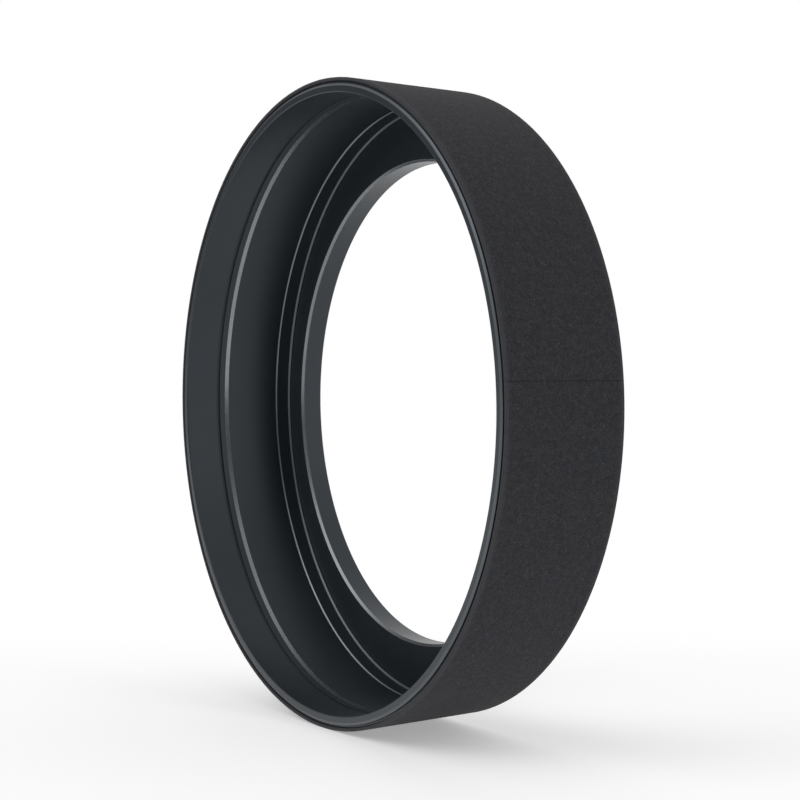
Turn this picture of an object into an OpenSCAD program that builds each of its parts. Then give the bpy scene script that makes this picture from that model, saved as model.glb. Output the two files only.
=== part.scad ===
// Short round lens hood, built as the stack of turned rings it is made from.
// A thin, slightly tapered barrel carries a cloth wrap on the outside. Inside it, from the
// front, sit a screwed front ring, a liner sleeve, a spacer ring, the dished mount plate
// with its lens thread, and a screwed lock ring that clamps the stack from the rear.
// Frame: the optical axis is Y. The origin is on the axis at the seat face that the
// lens rim rests on. The mouth of the hood looks towards -Y. Z is up. Sizes are in mm.
// A depth is measured back from the front lip.

/* [Overall] */
// outer radius over the cloth wrap at the mouth
hood_r = 48; // [40:0.5:55]
// outer radius over the cloth wrap at its rear edge
rear_r = 47.15; // [40:0.05:55]
// depth of the wrap's rear edge
wrap_end = 19.9; // [17:0.1:28]
// depth of the barrel's rear edge
hood_depth = 20.3; // [18:0.1:30]
// depth of the lens seat face
seat_depth = 18.45; // [16:0.05:28]

/* [Barrel and wrap] */
// thickness of the cloth wrap
wrap_t = 0.5; // [0.4:0.05:1.2]
// thickness of the adhesive film under the wrap
glue_t = 0.1; // [0.05:0.05:0.2]
// inner radius of the barrel behind its front counterbore
tube_r = 46; // [38:0.05:54]
// inner radius of the front counterbore
counter_r = 46.6; // [38:0.05:54]
// depth of the step at the end of the counterbore
counter_end = 8; // [6:0.1:12]
// setback of the wrap's front edge behind the lip
wrap_front = 0.1; // [0.05:0.05:1.0]
// width of the butt seam in the wrap
seam_w = 0.12; // [0.05:0.01:0.5]
// height of the seam above the +X side, as an angle
seam_angle = 4.9; // [-180:0.1:180]

/* [Front ring] */
// outer radius of the lip
lip_out_r = 47.4; // [40:0.05:54]
// radial width of the bevel round the outside of the lip
lip_bevel_w = 0.5; // [0.1:0.05:0.8]
// depth of that bevel
lip_bevel_d = 0.3; // [0.1:0.05:0.6]
// thickness of the lip over the end of the barrel
lip_t = 0.7; // [0.5:0.1:2]
// depth of the skirt's end
skirt_end = 5.6; // [3:0.05:10]
// inner radius of the front ring
skirt_r = 45.8; // [38:0.05:54]

/* [Inner rings] */
// width of the groove cut into the liner's front edge
groove_w = 0.4; // [0.2:0.05:1]
// depth of that groove into the wall
groove_h = 0.3; // [0.1:0.05:0.5]
// depth of the bevelled step in the liner
liner_step = 7.0; // [4:0.05:14]
// height of that step
liner_step_h = 0.25; // [0.05:0.05:0.3]
// length of that step along the axis
liner_step_w = 0.55; // [0.1:0.05:1]
// depth at which the liner ends and the spacer ring starts
spacer_front = 16.35; // [12:0.05:24]
// inner radius where the liner meets the spacer ring
spacer_r = 45.3; // [38:0.05:54]
// depth at which the spacer ring ends and the mount plate starts
plate_front = 19.05; // [14:0.05:26]
// inner radius where the spacer ring meets the plate
plate_r = 45.15; // [38:0.05:54]
// bevel on the spacer ring's front edge, and its foot against the plate
spacer_bevel = 0.3; // [0.1:0.05:0.5]
// small bevel on every other turned edge
edge_bevel = 0.1; // [0.05:0.05:0.3]

/* [Mount plate] */
// radius of the clear bore
bore_r = 36.5; // [20:0.1:42]
// bevel round the front of the bore
bore_bevel = 0.35; // [0.2:0.05:1.5]
// depth at which the dished plate meets the bore
dish_depth = 16.75; // [12:0.05:24]
// thickness of the plate's clamped edge
flange_t = 0.5; // [0.4:0.05:1.5]
// radius of the seat face that takes the lens rim
seat_r = 41.4; // [38.6:0.1:44]
// outer radius of the lens thread
thread_r = 38.5; // [22:0.25:43]
// length of the threaded collar behind the seat
thread_len = 1.85; // [1.5:0.05:4]

/* [Lock ring] */
// inner radius of the lock ring
lock_r = 43.6; // [40:0.1:45]
// width of each spanner slot
slot_w = 1.6; // [1:0.1:3]
// depth of each spanner slot into the ring
slot_d = 1.1; // [0.6:0.1:2]

/* [Hidden] */
fine = 240;                              // facets of a full turn
taper = (hood_r - rear_r) / wrap_end;    // how fast the outside narrows towards the rear
barrel_r = hood_r - wrap_t - glue_t;     // outside of the barrel at the mouth
fit_gap = 0.05;                          // radial running clearance inside the barrel
joint_gap = 0.05;                        // gap left at each ring joint
liner_front = skirt_end + joint_gap;     // depth at which the liner starts
lock_front = plate_front + flange_t;     // depth at which the lock ring starts
thread_bevel = 0.3;                      // lead-in bevel on the lens thread

// Radius, at a depth, of a surface that has the given radius at the mouth and the taper.
function tapered(mouth_r, depth) = mouth_r - taper * depth;

// Solid of revolution about the optical axis. Points are [radius, depth].
module turned(points) {
    translate([0, -seat_depth, 0])
        rotate([-90, 0, 0]) rotate_extrude($fn = fine) polygon(points);
}

// Tapered shell between two radii given at the mouth, from one depth to another.
module tapered_shell(inner, outer, from, to) {
    turned([[tapered(inner, from), from], [tapered(outer, from), from],
            [tapered(outer, to), to], [tapered(inner, to), to]]);
}

// Barrel: tapered outside, straight inside, with a counterbore for the front ring.
module barrel() {
    front = lip_t + joint_gap;
    color("#1b1c1e") turned([
        [counter_r, front],
        [tapered(barrel_r, front), front],
        [tapered(barrel_r, hood_depth), hood_depth],
        [tube_r, hood_depth],
        [tube_r, counter_end],
        [counter_r, counter_end]]);
}

// Front ring: flat lip with a bevelled outer edge, over the end of the barrel, and a skirt
// that screws inside it.
module front_ring() {
    outer = counter_r - fit_gap;
    color("#26282b") turned([
        [lip_out_r - lip_bevel_w, 0],
        [lip_out_r, lip_bevel_d],
        [lip_out_r, lip_t],
        [outer, lip_t],
        [outer, skirt_end],
        [skirt_r + edge_bevel, skirt_end],
        [skirt_r, skirt_end - edge_bevel],
        [skirt_r, edge_bevel],
        [skirt_r + edge_bevel, 0]]);
}

// Liner: dull sleeve. Its collar sits on the barrel's step, held there by the front ring.
module liner() {
    collar_r = counter_r - fit_gap;
    sleeve_r = tube_r - fit_gap;
    collar_end = counter_end - joint_gap;
    end = spacer_front - joint_gap;
    color("#17181a") turned([
        [skirt_r + groove_h, liner_front],
        [collar_r, liner_front],
        [collar_r, collar_end],
        [sleeve_r, collar_end],
        [sleeve_r, end],
        [spacer_r, end],
        [skirt_r - liner_step_h, liner_step + liner_step_w],
        [skirt_r, liner_step],
        [skirt_r, liner_front + groove_w],
        [skirt_r + groove_h, liner_front + groove_w]]);
}

// Spacer ring: narrow ring that carries the clamping load from the plate to the liner.
module spacer_ring() {
    outer = tube_r - fit_gap;
    end = plate_front - joint_gap;
    color("#17181a") turned([
        [spacer_r + spacer_bevel, spacer_front],
        [outer, spacer_front],
        [outer, end],
        [plate_r - spacer_bevel, end],
        [plate_r, end - spacer_bevel],
        [spacer_r, spacer_front + spacer_bevel]]);
}

// Mount plate: dished plate with the clear bore, the lens seat and the threaded collar.
module mount_plate() {
    outer = tube_r - fit_gap;
    collar_end = seat_depth + thread_len;
    color("#1b1c1e") turned([
        [outer, plate_front],
        [outer, lock_front],
        [seat_r, lock_front],
        [seat_r, seat_depth],
        [thread_r, seat_depth],
        [thread_r, collar_end - thread_bevel],
        [thread_r - thread_bevel, collar_end],
        [bore_r + edge_bevel, collar_end],
        [bore_r, collar_end - edge_bevel],
        [bore_r, dish_depth + bore_bevel],
        [bore_r + bore_bevel, dish_depth],
        [plate_r - spacer_bevel, plate_front]]);
}

// Lock ring: screws into the rear of the barrel and clamps the plate. Two spanner slots.
module lock_ring() {
    outer = tube_r - fit_gap;
    start = lock_front + joint_gap;
    color("#202225") difference() {
        turned([[lock_r, start], [outer, start], [outer, hood_depth], [lock_r, hood_depth]]);
        for (side = [-1, 1])
            translate([side * (lock_r + slot_d / 2), hood_depth - seat_depth, 0])
                cube([slot_d + 1, 4, slot_w], center = true);
    }
}

// Wrap: one strip of napped cloth round the barrel, its ends meeting in a butt seam.
module wrap_band() {
    color("#2c2a2c") difference() {
        tapered_shell(barrel_r + glue_t, hood_r, wrap_front, wrap_end);
        rotate([0, -seam_angle, 0])
            translate([hood_r, wrap_end / 2 - seat_depth, 0])
                cube([4, wrap_end + 4, seam_w], center = true);
    }
}

// Adhesive: thin film that bonds the wrap to the barrel.
module wrap_adhesive() {
    color("#3a352e")
        tapered_shell(barrel_r, barrel_r + glue_t, lip_t + joint_gap * 3, wrap_end - joint_gap * 2);
}

barrel();
front_ring();
liner();
spacer_ring();
mount_plate();
lock_ring();
wrap_band();
wrap_adhesive();
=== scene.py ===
"""Short round lens hood: looks, floor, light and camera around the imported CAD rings.

Every ring is turned from a short outline about the optical axis (the row frame's Y), with its
corners rounded to small arcs and its lathe marks in the material. The front ring, the barrel
and the mount plate also have threads, cut as helices. The cloth wrap is a strip bent round
the barrel, with a butt seam and a short nap. The adhesive film keeps its CAD shape.
Outlines and sizes are in millimetres, as (radius, depth behind the lip), and are scaled to
metres where a mesh is made.
"""

import math

import bmesh
import bpy
import numpy as np
from mathutils import Matrix, Vector, noise


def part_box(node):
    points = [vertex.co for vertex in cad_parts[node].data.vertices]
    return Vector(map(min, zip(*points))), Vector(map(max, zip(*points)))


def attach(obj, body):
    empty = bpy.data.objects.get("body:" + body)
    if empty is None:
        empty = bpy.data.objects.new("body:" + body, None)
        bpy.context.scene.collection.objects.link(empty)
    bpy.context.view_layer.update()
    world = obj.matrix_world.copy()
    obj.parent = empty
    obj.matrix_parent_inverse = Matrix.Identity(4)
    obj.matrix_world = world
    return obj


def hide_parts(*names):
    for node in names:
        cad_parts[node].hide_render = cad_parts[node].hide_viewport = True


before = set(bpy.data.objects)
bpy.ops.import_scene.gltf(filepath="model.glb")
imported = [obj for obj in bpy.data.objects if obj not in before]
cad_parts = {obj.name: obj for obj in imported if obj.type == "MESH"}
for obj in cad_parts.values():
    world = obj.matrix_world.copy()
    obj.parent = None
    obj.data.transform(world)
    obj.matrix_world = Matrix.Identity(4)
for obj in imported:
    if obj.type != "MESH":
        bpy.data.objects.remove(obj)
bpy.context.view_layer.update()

MM = 0.001
TURNS = 360                      # facets of a full turn
AROUND = np.linspace(0, 2 * math.pi, TURNS, endpoint=False)
TOUCHING = 1e-6                  # two lengths closer than this are the same


# ---------------------------------------------------------------- sizes, read off the frame
def place_on_axis(node, high):
    """Millimetres along the optical axis from the lens seat to a CAD node's front or rear."""
    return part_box(node)[1 if high else 0][1] / MM


LIP_Y = place_on_axis("front_ring", False)


def depth(node, high):
    """Millimetres behind the lip at which a CAD node starts or ends."""
    return place_on_axis(node, high) - LIP_Y


HOOD_R = 48.0                    # outside of the wrap at the mouth
REAR_R = 47.15                   # outside of the wrap at its rear edge
WRAP_T, GLUE_T = 0.5, 0.1        # thickness of the wrap and of the adhesive
BARREL_R = HOOD_R - WRAP_T - GLUE_T
TUBE_R = 46.0                    # inside of the barrel
COUNTER_R = 46.6                 # inside of the barrel's front counterbore
FIT_GAP = 0.05                   # radial running clearance inside the barrel
JOINT_GAP = 0.05                 # gap left at each ring joint
LIP_OUT_R = 47.4                 # outside of the lip
LIP_T = 0.7                      # thickness of the lip over the barrel's end
LIP_LAND_R = 46.75               # outer radius of the lip's flat face
LIP_BEVEL_D = 0.2                # depth of the bevel outside that face
REBATE_R, REBATE_D = 47.1, 0.5   # small rebate left between the lip's bevel and the cloth
SKIRT_R = 45.8                   # inside of the front ring
SPACER_R = 45.3                  # inside of the wall where the liner meets the spacer ring
PLATE_R = 45.15                  # inside of the wall where the spacer ring meets the plate
BORE_R, BORE_BEVEL = 36.5, 0.35  # clear bore and the bevel round its front
SEAT_R = 41.4                    # recess that takes the lens rim
THREAD_R = 38.5                  # outside of the lens thread
LOCK_R = 43.6                    # inside of the lock ring
EDGE = 0.1                       # small bevel on turned edges
GROOVE_W, GROOVE_H = 0.4, 0.3    # groove in the liner's front edge
STEP_AT, STEP_W, STEP_H = 7.0, 0.55, 0.25    # depth, length and height of the liner's step
SPACER_BEVEL = 0.3               # bevel on the spacer ring's front edge and foot
SLOT_D, SLOT_W, SLOT_L = 1.1, 1.6, 4         # spanner slot: radial depth, width, cutter length
SMALL_PITCH, SMALL_THREAD = 0.5, 0.25        # pitch and height of the front ring's thread
LENS_PITCH, LENS_THREAD = 0.75, 0.42         # pitch and height of the lens thread

BARREL_FRONT = depth("barrel", False)
HOOD_DEPTH = depth("barrel", True)
COUNTER_END = 8.0                # end of the front counterbore
SKIRT_END = depth("front_ring", True)
LINER_FRONT = depth("liner", False)
LINER_END = depth("liner", True)
SPACER_FRONT = depth("spacer_ring", False)
SPACER_END = depth("spacer_ring", True)
DISH_DEPTH = depth("mount_plate", False)
COLLAR_END = depth("mount_plate", True)
LOCK_FRONT = depth("lock_ring", False)
PLATE_FRONT = 19.05              # front of the mount plate's clamped edge
SEAT_DEPTH = -LIP_Y
WRAP_FRONT = depth("wrap_band", False)
WRAP_END = depth("wrap_band", True)
TAPER = (HOOD_R - REAR_R) / WRAP_END


def tapered(mouth_r, at):
    """Radius at a depth of a surface with this radius at the mouth and the barrel's taper."""
    return mouth_r - TAPER * at


# ---------------------------------------------------------------- turned pieces
NEARLY_STRAIGHT = math.radians(88)   # a corner with more than this half angle isn't rounded
SIDE_SHARE = 0.4                     # the most of a side that one rounded corner takes
SUPPORT_SHARE = 0.2                  # distance from an arc to its support point, in cuts


def corner_arc(before, corner, after, radius, steps):
    """Points that round one corner of an outline, with a support point on each side."""
    a, b, c = (np.array(p, float) for p in (before, corner, after))
    to_a, to_c = a - b, c - b
    len_a, len_c = np.linalg.norm(to_a), np.linalg.norm(to_c)
    to_a, to_c = to_a / len_a, to_c / len_c
    half = math.acos(float(np.clip(to_a @ to_c, -1, 1))) / 2
    if half > NEARLY_STRAIGHT:
        return [tuple(b)]
    cut = min(radius / math.tan(half), SIDE_SHARE * len_a, SIDE_SHARE * len_c)
    radius = cut * math.tan(half)
    middle = b + (to_a + to_c) / np.linalg.norm(to_a + to_c) * radius / math.sin(half)
    start, end = b + to_a * cut, b + to_c * cut
    angle = math.pi - 2 * half
    u = (start - middle) / radius
    v = end - middle - u * radius * math.cos(angle)
    v = v / np.linalg.norm(v)
    arc = [middle + radius * (u * math.cos(angle * i / steps) + v * math.sin(angle * i / steps))
           for i in range(steps + 1)]
    support = cut * SUPPORT_SHARE
    return [tuple(p) for p in (start + to_a * support, *arc, end + to_c * support)]


def rounded(outline, radius=0.06, steps=4, longest=0.5, bright=None):
    """A closed outline with every corner rounded and every long side divided.

    Each point is (radius, depth, shine). bright gives the shine, up to 1, of each machined
    side by the number of the point it starts at; the corners at its ends shine with it.
    """
    n = len(outline)
    bright = bright or {}
    points = []
    for i in range(n):
        arc = corner_arc(outline[i - 1], outline[i], outline[(i + 1) % n], radius, steps)
        before, after = bright.get((i - 1) % n, 0.0), bright.get(i, 0.0)
        shine = [before] + [max(before, after)] * (len(arc) - 2) + [after]
        points += [(*p, level) for p, level in zip(arc, shine)]
    fine = []
    for i, p in enumerate(points):
        q = points[(i + 1) % len(points)]
        parts = max(1, math.ceil(math.dist(p[:2], q[:2]) / longest))
        fine += [tuple(a + (b - a) * k / parts for a, b in zip(p, q)) for k in range(parts)]
    return fine


def new_piece(name, verts, faces, body, replaced, material):
    """One mesh piece in the row frame, riding on a CAD body and standing for a CAD node."""
    mesh = bpy.data.meshes.new(name)
    mesh.from_pydata([tuple(v) for v in verts], [], faces)
    tool = bmesh.new()
    tool.from_mesh(mesh)
    bmesh.ops.recalc_face_normals(tool, faces=tool.faces)
    tool.to_mesh(mesh)
    tool.free()
    mesh.polygons.foreach_set("use_smooth", [True] * len(mesh.polygons))
    piece = bpy.data.objects.new(name, mesh)
    bpy.context.scene.collection.objects.link(piece)
    mesh.materials.append(material)
    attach(piece, body)
    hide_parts(replaced)
    return piece


def turned(name, outline, body, replaced, material, thread=None, radius=0.06, bright=None):
    """A ring turned from a closed outline, with an optional thread and bright machined sides."""
    points = rounded(outline, radius, bright=bright)
    if thread:
        points = thread.refine(points)
    rows = len(points)
    r = np.array([p[0] for p in points])
    d = np.array([p[1] for p in points])
    rr = np.repeat(r[None, :], TURNS, 0)
    dd = np.repeat(d[None, :], TURNS, 0)
    if thread:
        rr = rr + thread.cut(rr, dd, AROUND[:, None])
    x = rr * np.cos(AROUND)[:, None]
    z = rr * np.sin(AROUND)[:, None]
    y = dd + LIP_Y
    verts = np.stack([x, y, z], -1).reshape(-1, 3) * MM
    faces = [(i * rows + j, i * rows + (j + 1) % rows,
              (i + 1) % TURNS * rows + (j + 1) % rows, (i + 1) % TURNS * rows + j)
             for i in range(TURNS) for j in range(rows)]
    piece = new_piece(name, verts, faces, body, replaced, material)
    shine = np.tile([p[2] for p in points], TURNS)
    piece.data.attributes.new("shine", "FLOAT", "POINT").data.foreach_set("value", shine)
    return piece


class Thread:
    """A helical thread on the straight wall at one radius, between two depths."""

    ROWS_PER_PITCH = 8
    STEEPNESS, CREST = 1.25, 0.12    # slope of the flanks, and how much of the crest is flat
    FADE = 0.6                       # length of the run-out at each end, in pitches

    def __init__(self, wall_r, start, end, pitch, height, outward=False):
        self.wall_r, self.start, self.end = wall_r, start, end
        self.pitch, self.height = pitch, height
        self.sign = 1 if outward else -1

    def refine(self, points):
        """Close rows along the threaded wall, so that the helix has its real flanks."""
        fine = []
        for i, p in enumerate(points):
            q = points[(i + 1) % len(points)]
            fine.append(p)
            on_wall = abs(p[0] - self.wall_r) < TOUCHING and abs(q[0] - self.wall_r) < TOUCHING
            low, high = sorted((p[1], q[1]))
            if on_wall and low >= self.start - TOUCHING and high <= self.end + TOUCHING:
                parts = max(1, math.ceil((high - low) / (self.pitch / self.ROWS_PER_PITCH)))
                fine += [(p[0], p[1] + (q[1] - p[1]) * k / parts, 0.0) for k in range(1, parts)]
        return fine

    def cut(self, radii, depths, angles):
        """How far each point moves: a rounded V that fades out at both ends."""
        turn = (depths - self.start) / self.pitch - angles / (2 * math.pi)
        wave = np.abs(turn - np.floor(turn) - 0.5) * 2
        groove = np.clip(self.STEEPNESS * (1 - wave) - self.CREST, 0, 1)
        ease = self.pitch * self.FADE
        fade = np.clip((depths - self.start) / ease, 0, 1) * np.clip((self.end - depths) / ease, 0, 1)
        on_wall = np.abs(radii - self.wall_r) < TOUCHING
        on_wall = on_wall & (depths > self.start) & (depths < self.end)
        return self.sign * self.height * groove * fade * on_wall


# ---------------------------------------------------------------- materials
HIGHLIGHT_GREY = (0.060, 0.062, 0.068)    # lighter grey painted on the cloth's rounded cut edges as a highlight
OXIDE_TINT = (0.86, 0.93, 1.0)       # cool cast of what black anodising reflects
BEVEL_GREY = (0.27, 0.285, 0.30)     # metal showing on the machined bevels
SLOW_TURN = 0.00006                  # how little the turning marks change round the ring
BEVEL_POLISH = -0.10                 # how the machined bevels' roughness differs


def node_maker(tree):
    """A function that adds a node to a tree and sets its sockets or settings by name."""
    def node(kind, **settings):
        made = tree.nodes.new(kind)
        for key, value in settings.items():
            if key in made.inputs:
                made.inputs[key].default_value = value
            else:
                setattr(made, key, value)
        return made

    return node


def shader(name):
    """A new node material: its node tree, its Principled shader, and a node maker."""
    material = bpy.data.materials.new(name)
    material.use_nodes = True
    tree = material.node_tree
    return material, tree, tree.nodes["Principled BSDF"], node_maker(tree)


def math_node(tree, node, operation, a, b=None, c=None):
    """One Math node; each of a, b and c is a socket or a number."""
    made = node("ShaderNodeMath", operation=operation)
    for i, value in enumerate((a, b, c)):
        if isinstance(value, (int, float)):
            made.inputs[i].default_value = value
        elif value is not None:
            tree.links.new(value, made.inputs[i])
    return made.outputs[0]


def ramp(tree, node, fac, stops):
    """A colour ramp through (position, grey or colour) stops."""
    made = node("ShaderNodeValToRGB")
    tree.links.new(fac, made.inputs["Fac"])
    elements = made.color_ramp.elements
    while len(elements) < len(stops):
        elements.new(0.5)
    for element, (position, colour) in zip(elements, stops):
        element.position = position
        rgb = (colour,) * 3 if isinstance(colour, float) else colour
        element.color = (*rgb, 1)
    return made.outputs["Color"]


def axial_coordinates(tree, node):
    """A point's place, and its radius and height on the optical axis with a slow turn."""
    place = node("ShaderNodeTexCoord").outputs["Object"]
    split = node("ShaderNodeSeparateXYZ")
    tree.links.new(place, split.inputs[0])
    x, y, z = split.outputs
    squares = math_node(tree, node, "ADD",
                        math_node(tree, node, "MULTIPLY", x, x),
                        math_node(tree, node, "MULTIPLY", z, z))
    radius = math_node(tree, node, "SQRT", squares)
    along = node("ShaderNodeCombineXYZ")
    tree.links.new(radius, along.inputs[0])
    tree.links.new(y, along.inputs[1])
    angle = math_node(tree, node, "ARCTAN2", z, x)
    slow = math_node(tree, node, "MULTIPLY", angle, SLOW_TURN)
    tree.links.new(slow, along.inputs[2])
    return place, along.outputs[0]


def mixed(tree, node, fac, a, b):
    """A blend of two colours or colour sockets."""
    made = node("ShaderNodeMix", data_type="RGBA")
    tree.links.new(fac, made.inputs["Factor"])
    for socket, value in ((made.inputs[6], a), (made.inputs[7], b)):
        if isinstance(value, tuple):
            socket.default_value = (*value, 1)
        else:
            tree.links.new(value, socket)
    return made.outputs[2]


def anodised(name, colour, roughness, marks=1.0):
    """Black anodised aluminium: fine turning marks, faint cloudiness, bright machined bevels."""
    material, tree, principled, node = shader(name)
    place, along = axial_coordinates(tree, node)
    fine = node("ShaderNodeTexNoise", Scale=16000.0, Detail=3.0, Roughness=0.6)
    tree.links.new(along, fine.inputs["Vector"])
    cloud = node("ShaderNodeTexNoise", Scale=90.0, Detail=5.0, Roughness=0.6)
    tree.links.new(place, cloud.inputs["Vector"])
    grain = node("ShaderNodeTexNoise", Scale=9000.0, Detail=2.0, Roughness=0.5)
    tree.links.new(place, grain.inputs["Vector"])
    tone = math_node(tree, node, "ADD",
                     math_node(tree, node, "MULTIPLY", fine.outputs["Fac"], 0.35),
                     math_node(tree, node, "MULTIPLY", cloud.outputs["Fac"], 0.65))
    dark = tuple(c * 0.85 for c in colour)
    light = tuple(c * 1.15 for c in colour)
    oxide = ramp(tree, node, tone, [(0.3, dark), (0.7, light)])
    shine = node("ShaderNodeAttribute", attribute_name="shine").outputs["Fac"]
    bare = math_node(tree, node, "MULTIPLY", shine,
                     math_node(tree, node, "MULTIPLY_ADD", cloud.outputs["Fac"], 0.5, 0.65))
    tree.links.new(mixed(tree, node, bare, oxide, BEVEL_GREY), principled.inputs["Base Color"])
    tree.links.new(bare, principled.inputs["Metallic"])
    rough = math_node(tree, node, "MULTIPLY_ADD", tone, 0.12, roughness - 0.06)
    rough = math_node(tree, node, "MULTIPLY_ADD", bare, BEVEL_POLISH, rough)
    tree.links.new(rough, principled.inputs["Roughness"])
    principled.inputs["Specular Tint"].default_value = (*OXIDE_TINT, 1)
    height = math_node(tree, node, "ADD",
                       math_node(tree, node, "MULTIPLY", fine.outputs["Fac"], marks),
                       math_node(tree, node, "MULTIPLY", grain.outputs["Fac"], 0.5))
    bump = node("ShaderNodeBump", Strength=0.12, Distance=0.00003)
    tree.links.new(height, bump.inputs["Height"])
    tree.links.new(bump.outputs[0], principled.inputs["Normal"])
    return material


def napped_cloth(name):
    """Black napped cloth: fine short fibres, sparse lighter ones, a faint violet cast, and a painted
    highlight along its cut edges.
    """
    material, tree, principled, node = shader(name)
    place = node("ShaderNodeTexCoord").outputs["Object"]
    fibre = node("ShaderNodeTexNoise", Scale=4200.0, Detail=3.0, Roughness=0.7)
    clump = node("ShaderNodeTexNoise", Scale=1300.0, Detail=2.0, Roughness=0.5)
    cast = node("ShaderNodeTexNoise", Scale=800.0, Detail=4.0, Roughness=0.6)
    for texture in (fibre, clump, cast):
        tree.links.new(place, texture.inputs["Vector"])
    nap = math_node(tree, node, "ADD",
                    math_node(tree, node, "MULTIPLY", fibre.outputs["Fac"], 0.75),
                    math_node(tree, node, "MULTIPLY", clump.outputs["Fac"], 0.25))
    black = ramp(tree, node, nap, [(0.34, 0.017), (0.5, 0.030), (0.62, 0.044), (0.70, 0.080)])
    tint = ramp(tree, node, cast.outputs["Fac"],
                [(0.36, (1.02, 0.97, 1.03)), (0.5, (1.0, 0.98, 1.13)), (0.64, (0.95, 1.0, 1.18))])
    tinted = node("ShaderNodeMix", data_type="RGBA", blend_type="MULTIPLY")
    tinted.inputs["Factor"].default_value = 1.0
    tree.links.new(black, tinted.inputs[6])
    tree.links.new(tint, tinted.inputs[7])
    # Painted highlight: along its rounded cut edges the cloth is mixed towards a lighter grey
    edge_highlight = node("ShaderNodeAttribute", attribute_name="edge_highlight").outputs["Fac"]
    highlighted_cloth = mixed(tree, node, edge_highlight, tinted.outputs[2], HIGHLIGHT_GREY)
    tree.links.new(highlighted_cloth, principled.inputs["Base Color"])
    principled.inputs["Roughness"].default_value = 0.95
    principled.inputs["Specular IOR Level"].default_value = 0.15
    principled.inputs["Sheen Weight"].default_value = 0.04
    principled.inputs["Sheen Roughness"].default_value = 0.5
    bump = node("ShaderNodeBump", Strength=0.6, Distance=0.00008)
    tree.links.new(nap, bump.inputs["Height"])
    tree.links.new(bump.outputs[0], principled.inputs["Normal"])
    return material


def dried_glue(name):
    """Amber-grey contact adhesive with a rough skin."""
    material, tree, principled, node = shader(name)
    place = node("ShaderNodeTexCoord").outputs["Object"]
    lumps = node("ShaderNodeTexNoise", Scale=900.0, Detail=4.0)
    tree.links.new(place, lumps.inputs["Vector"])
    base = ramp(tree, node, lumps.outputs["Fac"],
                [(0.3, (0.03, 0.026, 0.02)), (0.7, (0.08, 0.07, 0.05))])
    tree.links.new(base, principled.inputs["Base Color"])
    rough = math_node(tree, node, "MULTIPLY_ADD", lumps.outputs["Fac"], 0.3, 0.45)
    tree.links.new(rough, principled.inputs["Roughness"])
    bump = node("ShaderNodeBump", Strength=0.5, Distance=0.00005)
    tree.links.new(lumps.outputs["Fac"], bump.inputs["Height"])
    tree.links.new(bump.outputs[0], principled.inputs["Normal"])
    return material


BARREL_BLACK = anodised("barrel_black", (0.014, 0.017, 0.020), 0.40)
RING_BLACK = anodised("ring_black", (0.018, 0.023, 0.028), 0.33)
LINER_BLACK = anodised("liner_black", (0.017, 0.022, 0.026), 0.36, marks=0.6)
PLATE_BLACK = anodised("plate_black", (0.019, 0.024, 0.029), 0.33)
CLOTH = napped_cloth("napped_cloth")
GLUE = dried_glue("dried_glue")


# ---------------------------------------------------------------- pieces
def make_front_ring():
    """Flat lip with a bevelled, rebated outer edge, and a threaded skirt inside the barrel."""
    outer = COUNTER_R - FIT_GAP
    outline = [(LIP_LAND_R, 0), (REBATE_R, LIP_BEVEL_D), (REBATE_R, REBATE_D),
               (LIP_OUT_R, REBATE_D), (LIP_OUT_R, LIP_T), (outer, LIP_T), (outer, SKIRT_END),
               (SKIRT_R + EDGE, SKIRT_END), (SKIRT_R, SKIRT_END - EDGE), (SKIRT_R, EDGE),
               (SKIRT_R + EDGE, 0)]
    thread = Thread(outer, LIP_T + 0.4, SKIRT_END - 0.4, SMALL_PITCH, SMALL_THREAD)
    return turned("front_ring_turned", outline, "front_ring", "front_ring",
                  RING_BLACK, thread, bright={0: 0.32})


def make_liner():
    """Dull sleeve with a collar, a grooved front edge, a bevelled step and a tapered wall."""
    collar, sleeve = COUNTER_R - FIT_GAP, TUBE_R - FIT_GAP
    collar_end = COUNTER_END - JOINT_GAP
    groove_end, groove_r = LINER_FRONT + GROOVE_W, SKIRT_R + GROOVE_H
    outline = [(groove_r, LINER_FRONT), (collar, LINER_FRONT), (collar, collar_end),
               (sleeve, collar_end), (sleeve, LINER_END), (SPACER_R, LINER_END),
               (SKIRT_R - STEP_H, STEP_AT + STEP_W), (SKIRT_R, STEP_AT),
               (SKIRT_R, groove_end), (groove_r, groove_end)]
    return turned("liner_turned", outline, "hood", "liner", LINER_BLACK, radius=0.05,
                  bright={6: 1.0})


def make_spacer_ring():
    """Narrow ring between the liner and the plate, with a bevel at each end."""
    outer = TUBE_R - FIT_GAP
    outline = [(SPACER_R + SPACER_BEVEL, SPACER_FRONT), (outer, SPACER_FRONT), (outer, SPACER_END),
               (PLATE_R - SPACER_BEVEL, SPACER_END), (PLATE_R, SPACER_END - SPACER_BEVEL),
               (SPACER_R, SPACER_FRONT + SPACER_BEVEL)]
    return turned("spacer_ring_turned", outline, "hood", "spacer_ring", LINER_BLACK,
                  radius=0.04, bright={3: 0.4, 5: 0.75})


def make_mount_plate():
    """Dished plate with a bevelled bore, the lens seat and the threaded collar."""
    outer, flange_end, lead = TUBE_R - FIT_GAP, LOCK_FRONT - JOINT_GAP, 0.3
    outline = [(outer, PLATE_FRONT), (outer, flange_end), (SEAT_R, flange_end),
               (SEAT_R, SEAT_DEPTH), (THREAD_R, SEAT_DEPTH), (THREAD_R, COLLAR_END - lead),
               (THREAD_R - lead, COLLAR_END), (BORE_R + EDGE, COLLAR_END),
               (BORE_R, COLLAR_END - EDGE), (BORE_R, DISH_DEPTH + BORE_BEVEL),
               (BORE_R + BORE_BEVEL, DISH_DEPTH), (PLATE_R - SPACER_BEVEL, PLATE_FRONT)]
    thread = Thread(THREAD_R, SEAT_DEPTH + 0.12, COLLAR_END - 0.2, LENS_PITCH, LENS_THREAD)
    return turned("mount_plate_turned", outline, "hood", "mount_plate",
                  PLATE_BLACK, thread, bright={7: 0.6, 9: 0.8})


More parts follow.
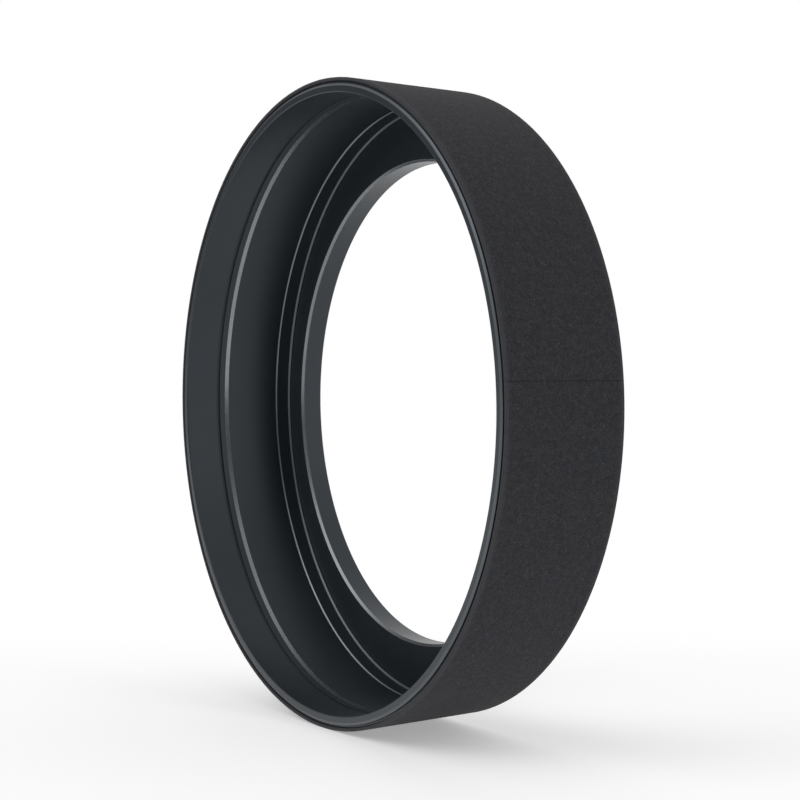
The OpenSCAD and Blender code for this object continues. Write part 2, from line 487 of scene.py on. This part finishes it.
def make_barrel():
    """Tube with a tapered outside, threaded inside its front counterbore."""
    outline = [(COUNTER_R, BARREL_FRONT), (tapered(BARREL_R, BARREL_FRONT), BARREL_FRONT),
               (tapered(BARREL_R, HOOD_DEPTH), HOOD_DEPTH), (TUBE_R, HOOD_DEPTH),
               (TUBE_R, COUNTER_END), (COUNTER_R, COUNTER_END)]
    thread = Thread(COUNTER_R, BARREL_FRONT + 0.3, SKIRT_END - 0.2, SMALL_PITCH, SMALL_THREAD,
                    outward=True)
    return turned("barrel_turned", outline, "hood", "barrel", BARREL_BLACK, thread,
                  radius=0.05)


def make_lock_ring():
    """Thin plain ring with two spanner slots in its rear face."""
    outer = TUBE_R - FIT_GAP
    outline = [(LOCK_R, LOCK_FRONT), (outer, LOCK_FRONT), (outer, HOOD_DEPTH),
               (LOCK_R, HOOD_DEPTH)]
    piece = turned("lock_ring_turned", outline, "lock_ring", "lock_ring",
                   RING_BLACK, radius=0.05)
    cutters = []
    for side in (-1, 1):
        tool = bmesh.new()
        bmesh.ops.create_cube(tool, size=1)
        size = Matrix.Diagonal(((SLOT_D + 1) * MM, SLOT_L * MM, SLOT_W * MM, 1))
        place = Matrix.Translation((side * (LOCK_R + SLOT_D / 2) * MM,
                                    (LIP_Y + HOOD_DEPTH) * MM, 0))
        bmesh.ops.transform(tool, matrix=place @ size, verts=tool.verts)
        mesh = bpy.data.meshes.new("slot_cutter")
        tool.to_mesh(mesh)
        tool.free()
        cutters.append(bpy.data.objects.new("slot_cutter", mesh))
        bpy.context.scene.collection.objects.link(cutters[-1])
        cut = piece.modifiers.new("spanner_slot", "BOOLEAN")
        cut.operation, cut.solver, cut.object = "DIFFERENCE", "EXACT", cutters[-1]
    shaped = piece.evaluated_get(bpy.context.evaluated_depsgraph_get())
    shape = bpy.data.meshes.new_from_object(shaped)
    piece.modifiers.clear()
    piece.data = shape
    for cutter in cutters:
        bpy.data.objects.remove(cutter)
    return piece


SEAM_ANGLE = math.radians(4.9)       # height of the seam above the side, as an angle
SEAM_W = 0.03                        # width of the seam
COLUMNS = 720                        # facets round the wrap
CLOTH_EDGE = 0.30                    # rounding of the cloth's cut edges
TUCK, TUCK_REACH = 0.05, 0.15        # how far the cloth dips at the seam, and how near to it
RIPPLE, RIPPLES = 0.012, 1.1         # height of the surface's unevenness, and waves per mm
SETTLE = 0.015                       # how far the surface lies below the nominal radius
HIGHLIGHT_MOST, HIGHLIGHT_REACH = 0.6, 0.45    # how strongly, and how far in from the edges, the highlight is painted
HIGHLIGHT_FULL = 0.15                     # distance from the edge up to which the highlight is painted in full


def make_wrap():
    """One strip of cloth round the barrel, its two ends meeting in a butt seam."""
    inner, outer = BARREL_R + GLUE_T, HOOD_R
    gap = SEAM_W / outer
    outline = rounded([(tapered(inner, WRAP_FRONT), WRAP_FRONT),
                       (tapered(outer, WRAP_FRONT), WRAP_FRONT),
                       (tapered(outer, WRAP_END), WRAP_END),
                       (tapered(inner, WRAP_END), WRAP_END)],
                      radius=CLOTH_EDGE, steps=6, longest=0.45)
    verts, edge_highlight = [], []
    for i in range(COLUMNS + 1):
        angle = SEAM_ANGLE + gap / 2 + (2 * math.pi - gap) * i / COLUMNS
        to_end = min(i, COLUMNS - i) / COLUMNS * 2 * math.pi * outer
        tuck = TUCK * math.exp(-(to_end / TUCK_REACH) ** 2)
        for r, d, _ in outline:
            share = (r - tapered(inner, d)) / (outer - inner)
            point = Vector((r * math.cos(angle), d, r * math.sin(angle)))
            rough = noise.fractal(point * RIPPLES, 1.0, 2.0, 3)
            lift = share * (RIPPLE * rough - tuck - SETTLE)
            verts.append(((r + lift) * math.cos(angle) * MM, (d + LIP_Y) * MM,
                          (r + lift) * math.sin(angle) * MM))
            # How much painted highlight each point gets: full at the front and rear cut edges, fading
            # inwards
            from_edge = min(d - WRAP_FRONT, WRAP_END - d)
            inward = max(from_edge - HIGHLIGHT_FULL, 0)
            edge_highlight.append(HIGHLIGHT_MOST * math.exp(-(inward / HIGHLIGHT_REACH) ** 2))
    rows = len(outline)
    faces = [(i * rows + j, i * rows + (j + 1) % rows, (i + 1) * rows + (j + 1) % rows,
              (i + 1) * rows + j) for i in range(COLUMNS) for j in range(rows)]
    faces.append(tuple(range(rows)))
    faces.append(tuple(COLUMNS * rows + j for j in reversed(range(rows))))
    piece = new_piece("wrap_cloth", verts, faces, "hood", "wrap_band", CLOTH)
    piece.data.attributes.new("edge_highlight", "FLOAT", "POINT").data.foreach_set("value", edge_highlight)
    return piece


def finish_glue():
    """The adhesive film keeps its CAD shape and gets its own finish."""
    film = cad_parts["wrap_adhesive"]
    for slot in film.material_slots:
        slot.material = GLUE


# ---------------------------------------------------------------- surroundings
ALL_ROUND = 0.70                 # strength of the studio's light from above and the sides
BACK_EXTRA = 0.36                # how much stronger it is level with the hood, from behind
FRONT_LESS = 0.60                # how much weaker it is level with the hood, from in front
KEY_WAY = (-0.15, -0.8, 0.6)     # the way towards the soft key light
KEY_EXTRA = 2.2                  # how much stronger the light is at the middle of the key light
KEY_POWER = 12.0                 # how quickly the key light falls off away from its middle
LEVEL_MOST, LEVEL_NONE = 0.3, 0.85   # heights between which a direction stops being level
TURN_RATE = 3.3                  # how soon a direction counts as fully behind or in front
FLOOR_R = 2.0                    # radius of the round floor, in metres
FLOOR_GLOW = 0.32                # the floor's own light, which keeps it as white as the backdrop


def make_floor():
    """A round pale floor just under the hood's rim."""
    tool = bmesh.new()
    bmesh.ops.create_circle(tool, cap_ends=True, segments=128, radius=FLOOR_R)
    mesh = bpy.data.meshes.new("floor")
    tool.to_mesh(mesh)
    tool.free()
    floor = bpy.data.objects.new("floor", mesh)
    bpy.context.scene.collection.objects.link(floor)
    floor.location.z = -HOOD_R * MM
    material, _, principled, _ = shader("floor_white")
    principled.inputs["Base Color"].default_value = (0.8, 0.8, 0.8, 1)
    principled.inputs["Roughness"].default_value = 0.9
    principled.inputs["Emission Color"].default_value = (1, 1, 1, 1)
    principled.inputs["Emission Strength"].default_value = FLOOR_GLOW
    mesh.materials.append(material)


def make_light():
    """A white studio: a bright backdrop, a dim front, and a large soft key light up in front."""
    world = bpy.data.worlds.new("studio")
    world.use_nodes = True
    tree = world.node_tree
    tree.nodes.clear()
    node = node_maker(tree)

    way = node("ShaderNodeTexCoord").outputs["Generated"]
    split = node("ShaderNodeSeparateXYZ")
    tree.links.new(way, split.inputs[0])
    height = math_node(tree, node, "ABSOLUTE", split.outputs[2])
    level = node("ShaderNodeMapRange", interpolation_type="SMOOTHSTEP")
    tree.links.new(height, level.inputs["Value"])
    limits = {"From Min": LEVEL_MOST, "From Max": LEVEL_NONE, "To Min": 1.0, "To Max": 0.0}
    for name, value in limits.items():
        level.inputs[name].default_value = value

    def share(sign):
        """How far the light comes level from behind (sign 1) or from in front (sign -1)."""
        facing = math_node(tree, node, "MULTIPLY", split.outputs[1], sign * TURN_RATE)
        facing = math_node(tree, node, "MAXIMUM", facing, 0.0)
        facing = math_node(tree, node, "MINIMUM", facing, 1.0)
        return math_node(tree, node, "MULTIPLY", facing, level.outputs["Result"])

    strength = math_node(tree, node, "MULTIPLY_ADD", share(1), BACK_EXTRA, ALL_ROUND)
    strength = math_node(tree, node, "MULTIPLY_ADD", share(-1), -FRONT_LESS, strength)
    facing = node("ShaderNodeVectorMath", operation="DOT_PRODUCT")
    tree.links.new(way, facing.inputs[0])
    facing.inputs[1].default_value = Vector(KEY_WAY).normalized()
    key = math_node(tree, node, "MAXIMUM", facing.outputs["Value"], 0.0)
    key = math_node(tree, node, "POWER", key, KEY_POWER)
    strength = math_node(tree, node, "MULTIPLY_ADD", key, KEY_EXTRA, strength)
    soft = node("ShaderNodeBackground")
    tree.links.new(strength, soft.inputs["Strength"])
    soft.inputs["Color"].default_value = (1, 1, 1, 1)
    white = node("ShaderNodeBackground")
    white.inputs["Color"].default_value = (1, 1, 1, 1)
    white.inputs["Strength"].default_value = 1.0
    seen = node("ShaderNodeLightPath").outputs["Is Camera Ray"]
    either = node("ShaderNodeMixShader")
    tree.links.new(seen, either.inputs[0])
    tree.links.new(soft.outputs[0], either.inputs[1])
    tree.links.new(white.outputs[0], either.inputs[2])
    output = node("ShaderNodeOutputWorld")
    tree.links.new(either.outputs[0], output.inputs["Surface"])
    bpy.context.scene.world = world
    bpy.context.scene.view_settings.view_transform = "Standard"


CAMERA_ROUND = math.radians(58.54)   # how far round from the mouth's axis the camera stands
CAMERA_UP = math.radians(1.40)       # how far above level it stands
CAMERA_AWAY = 6.389                  # its distance, in outer radii
CAMERA_AIM = (0.1252, 0.2054, 0.0140)    # where it aims from the mouth's middle, in outer radii
CAMERA_LENS = 93.4                   # focal length, for a 36 mm wide sensor


def make_camera():
    """The view: nearly level with the ring, well round to the side of the mouth."""
    radius = HOOD_R * MM
    away = Vector((math.sin(CAMERA_ROUND) * math.cos(CAMERA_UP),
                   -math.cos(CAMERA_ROUND) * math.cos(CAMERA_UP), math.sin(CAMERA_UP)))
    mouth = Vector((0, LIP_Y * MM, 0))
    aim = mouth + Vector(CAMERA_AIM) * radius
    data = bpy.data.cameras.new("camera")
    data.sensor_width = 36
    data.lens = CAMERA_LENS
    camera = bpy.data.objects.new("camera", data)
    bpy.context.scene.collection.objects.link(camera)
    camera.location = aim + away * CAMERA_AWAY * radius
    camera.rotation_euler = (-away).to_track_quat("-Z", "Y").to_euler()
    bpy.context.scene.camera = camera


make_front_ring()
make_liner()
make_spacer_ring()
make_mount_plate()
make_barrel()
make_lock_ring()
make_wrap()
finish_glue()
make_floor()
make_light()
make_camera()
